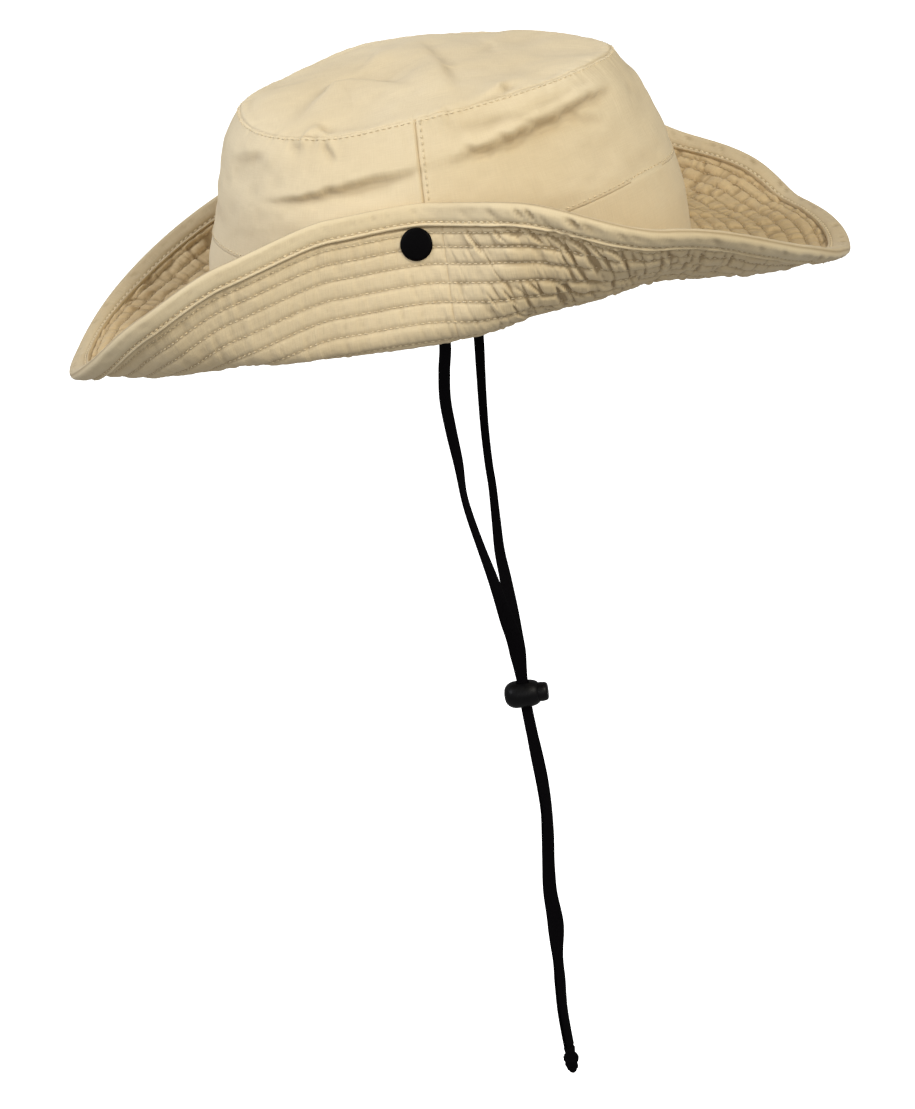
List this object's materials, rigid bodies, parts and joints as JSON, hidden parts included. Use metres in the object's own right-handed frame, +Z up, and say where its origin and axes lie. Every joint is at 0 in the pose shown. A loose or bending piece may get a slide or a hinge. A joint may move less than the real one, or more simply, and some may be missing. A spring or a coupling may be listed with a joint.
{
  "type": "sun hat",
  "caption": "Cloth sun hat, quilted brim snapped up at both sides, oval crown, flat chin cord with a sprung cord lock and an end knot",
  "frame": {"origin": "centre of the head opening, in the plane where the crown meets the brim", "axes": "+Z up through the crown, -Y toward the front of the hat, +X toward the wearer's left side"},
  "size_m": [0.2433, 0.3392, 0.485],
  "materials": {
    "crown_cloth": "matt khaki woven cloth, single layer",
    "brim_cloth": "matt khaki woven cloth, two layers quilted with rows of stitching",
    "binding_cloth": "matt khaki bias strip, stitched along its inner edge",
    "snap": "black enamel, low gloss",
    "cord": "black flat braid",
    "lock": "black moulded plastic, satin"
  },
  "bodies": {
    "hat": {"crown_top": "crown_cloth", "crown_wall_front": "crown_cloth", "crown_wall_back": "crown_cloth", "crown_band": "crown_cloth", "brim_front": "brim_cloth", "brim_back": "brim_cloth", "brim_binding": "binding_cloth", "snap_cap_left": "snap", "snap_cap_right": "snap", "snap_stud_left": "snap", "snap_stud_right": "snap", "chin_cord_left": "cord", "chin_cord_right": "cord", "cord_knot": "cord", "toggle_body": "lock"},
    "button": {"toggle_button": "lock"}
  },
  "joints": [
    {"name": "button_press", "type": "slide", "parent": "hat", "child": "button", "axis": [0, -1, 0], "range_m": [0, 0.002], "stiffness_N_per_m": 400, "springref_m": -0.003}
  ]
}
